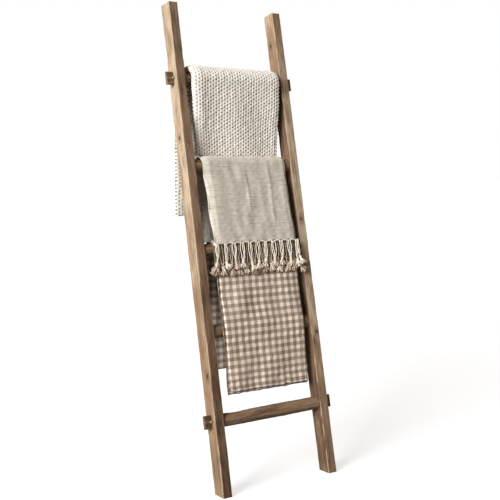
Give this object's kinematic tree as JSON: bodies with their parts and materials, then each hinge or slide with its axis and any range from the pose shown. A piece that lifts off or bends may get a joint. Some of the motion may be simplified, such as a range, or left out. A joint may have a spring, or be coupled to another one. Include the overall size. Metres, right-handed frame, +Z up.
{
  "type": "leaning blanket ladder with folded throws",
  "caption": "Rustic wooden ladder that leans on a wall, with a knitted throw, a fringed linen throw and a gingham quilt folded over its rungs.",
  "frame": {"origin": "on the floor, at the middle of the ladder's width and of its depth from the feet to the wall", "axes": "+X along the rungs to the right, +Y towards the wall, +Z up"},
  "size_m": [0.584, 0.4176, 1.7933],
  "materials": {
    "weathered_wood": "weathered, waxed, matt",
    "peg_wood": "matt",
    "knit": "chunky cotton knit",
    "linen": "slubbed loose weave",
    "linen_yarn": "twisted, knotted yarn",
    "gingham": "woven check cotton"
  },
  "bodies": {
    "ladder": {"rail_left": "weathered_wood", "rail_right": "weathered_wood", "rung_top": "weathered_wood", "rung_second": "weathered_wood", "rung_middle": "weathered_wood", "rung_fourth": "weathered_wood", "rung_bottom": "weathered_wood", "peg_top_left": "peg_wood", "peg_top_right": "peg_wood", "peg_bottom_left": "peg_wood", "peg_bottom_right": "peg_wood"},
    "knit": {"knit_throw": "knit"},
    "linen": {"linen_throw": "linen", "linen_fringe": "linen_yarn"},
    "quilt": {"gingham_quilt": "gingham"}
  },
  "joints": [
    {"name": "knit_slide", "type": "slide", "parent": "ladder", "child": "knit", "axis": [1, 0, 0], "range_m": [-0.02, 0.016]},
    {"name": "linen_slide", "type": "slide", "parent": "ladder", "child": "linen", "axis": [1, 0, 0], "range_m": [-0.02, 0.024]},
    {"name": "quilt_slide", "type": "slide", "parent": "ladder", "child": "quilt", "axis": [1, 0, 0], "range_m": [-0.024, 0.03]}
  ]
}
